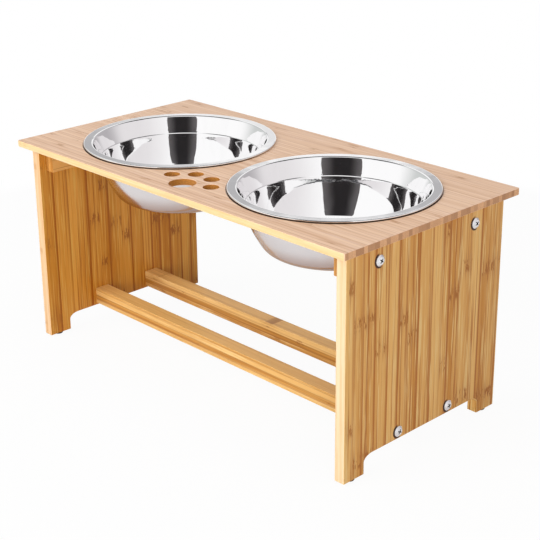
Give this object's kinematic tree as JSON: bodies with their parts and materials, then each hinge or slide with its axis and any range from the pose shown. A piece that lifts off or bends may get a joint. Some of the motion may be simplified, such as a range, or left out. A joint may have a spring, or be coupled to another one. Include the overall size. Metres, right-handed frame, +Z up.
{
  "type": "elevated dog bowl stand",
  "caption": "Raised pet feeder: a bamboo board on end panels joined by low rails, holding deep steel dishes that lift out, with a paw-shaped cut-out.",
  "frame": {"origin": "on the floor, under the middle of the top board", "axes": "+X along the long side towards the right end panel, +Y from the paw cut-out at the front towards the back, +Z up"},
  "size_m": [0.6, 0.305, 0.2909],
  "materials": {
    "board_bamboo": "satin lacquer",
    "panel_bamboo": "satin lacquer",
    "cleat_bamboo": "satin lacquer",
    "rail_bamboo": "satin lacquer",
    "dowel_beech": "bare",
    "dish_steel": "mirror polished inside, satin outside",
    "screw_zinc": "bright zinc",
    "grip_rubber": "matte"
  },
  "bodies": {
    "stand": {"front_rail": "rail_bamboo", "left_cleat": "cleat_bamboo", "left_cleat_front_screw": "screw_zinc", "left_cleat_rear_screw": "screw_zinc", "left_end_panel": "panel_bamboo", "left_front_dowel": "dowel_beech", "left_front_grip_pad": "grip_rubber", "left_lower_front_screw": "screw_zinc", "left_lower_rear_screw": "screw_zinc", "left_rear_dowel": "dowel_beech", "left_rear_grip_pad": "grip_rubber", "left_upper_front_screw": "screw_zinc", "left_upper_rear_screw": "screw_zinc", "rear_rail": "rail_bamboo", "right_cleat": "cleat_bamboo", "right_cleat_front_screw": "screw_zinc", "right_cleat_rear_screw": "screw_zinc", "right_end_panel": "panel_bamboo", "right_front_dowel": "dowel_beech", "right_front_grip_pad": "grip_rubber", "right_lower_front_screw": "screw_zinc", "right_lower_rear_screw": "screw_zinc", "right_rear_dowel": "dowel_beech", "right_rear_grip_pad": "grip_rubber", "right_upper_front_screw": "screw_zinc", "right_upper_rear_screw": "screw_zinc", "top_board": "board_bamboo"},
    "left_dish": {"left_bowl": "dish_steel"},
    "right_dish": {"right_bowl": "dish_steel"}
  },
  "joints": [
    {"name": "left_dish_lift", "type": "slide", "parent": "stand", "child": "left_dish", "axis": [0, 0, 1], "range_m": [0, 0.1]},
    {"name": "right_dish_lift", "type": "slide", "parent": "stand", "child": "right_dish", "axis": [0, 0, 1], "range_m": [0, 0.1]}
  ]
}
